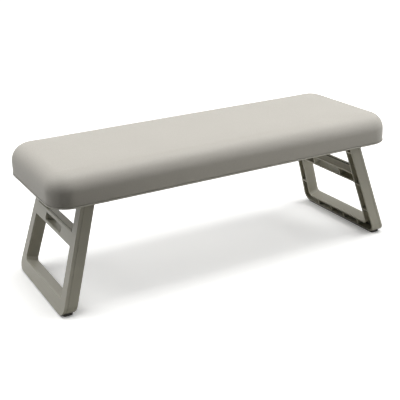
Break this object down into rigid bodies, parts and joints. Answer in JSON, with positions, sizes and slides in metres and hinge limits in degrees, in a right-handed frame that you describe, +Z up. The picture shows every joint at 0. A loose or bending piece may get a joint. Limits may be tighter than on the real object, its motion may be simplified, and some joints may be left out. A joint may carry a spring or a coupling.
{
  "type": "manicure hand rest",
  "caption": "Padded manicure hand rest: a soft arm cushion on a moulded base with two folding legs, standing clear over a nail lamp.",
  "frame": {"origin": "centre of the footprint, on the surface that the feet stand on", "axes": "+X along the cushion, +Y across it to the back, +Z up"},
  "size_m": [0.4008, 0.1464, 0.1472],
  "materials": {
    "leatherette": "matte PU leatherette, fine grain",
    "foam": "open-cell foam",
    "base_plastic": "matte moulded",
    "cover_plastic": "matte moulded",
    "bracket_plastic": "matte moulded",
    "leg_plastic": "matte moulded",
    "leg_plate": "satin moulded",
    "screws": "zinc plated",
    "pins": "ground steel",
    "washers": "nylon",
    "foot_rubber": "matte rubber"
  },
  "bodies": {
    "rest": {"cushion_cover": "leatherette", "foam_pad": "foam", "base_tray": "base_plastic", "bottom_cover": "cover_plastic", "bottom_cover_screws": "screws", "left_hinge_bracket": "bracket_plastic", "right_hinge_bracket": "bracket_plastic", "left_bracket_screws": "screws", "right_bracket_screws": "screws", "left_hinge_washers": "washers", "right_hinge_washers": "washers", "left_front_hinge_pin": "pins", "left_rear_hinge_pin": "pins", "right_front_hinge_pin": "pins", "right_rear_hinge_pin": "pins"},
    "left_leg": {"left_leg_frame": "leg_plastic", "left_leg_cover": "leg_plate", "left_foot_strip": "foot_rubber"},
    "right_leg": {"right_leg_frame": "leg_plastic", "right_leg_cover": "leg_plate", "right_foot_strip": "foot_rubber"}
  },
  "joints": [
    {"name": "left_leg_fold", "type": "hinge", "parent": "rest", "child": "left_leg", "pos_m": [-0.15429, 0, 0.118], "axis": [0, -1, 0], "range_deg": [0, 106.7]},
    {"name": "right_leg_fold", "type": "hinge", "parent": "rest", "child": "right_leg", "pos_m": [0.15429, 0, 0.118], "axis": [0, 1, 0], "range_deg": [0, 106.7]}
  ]
}
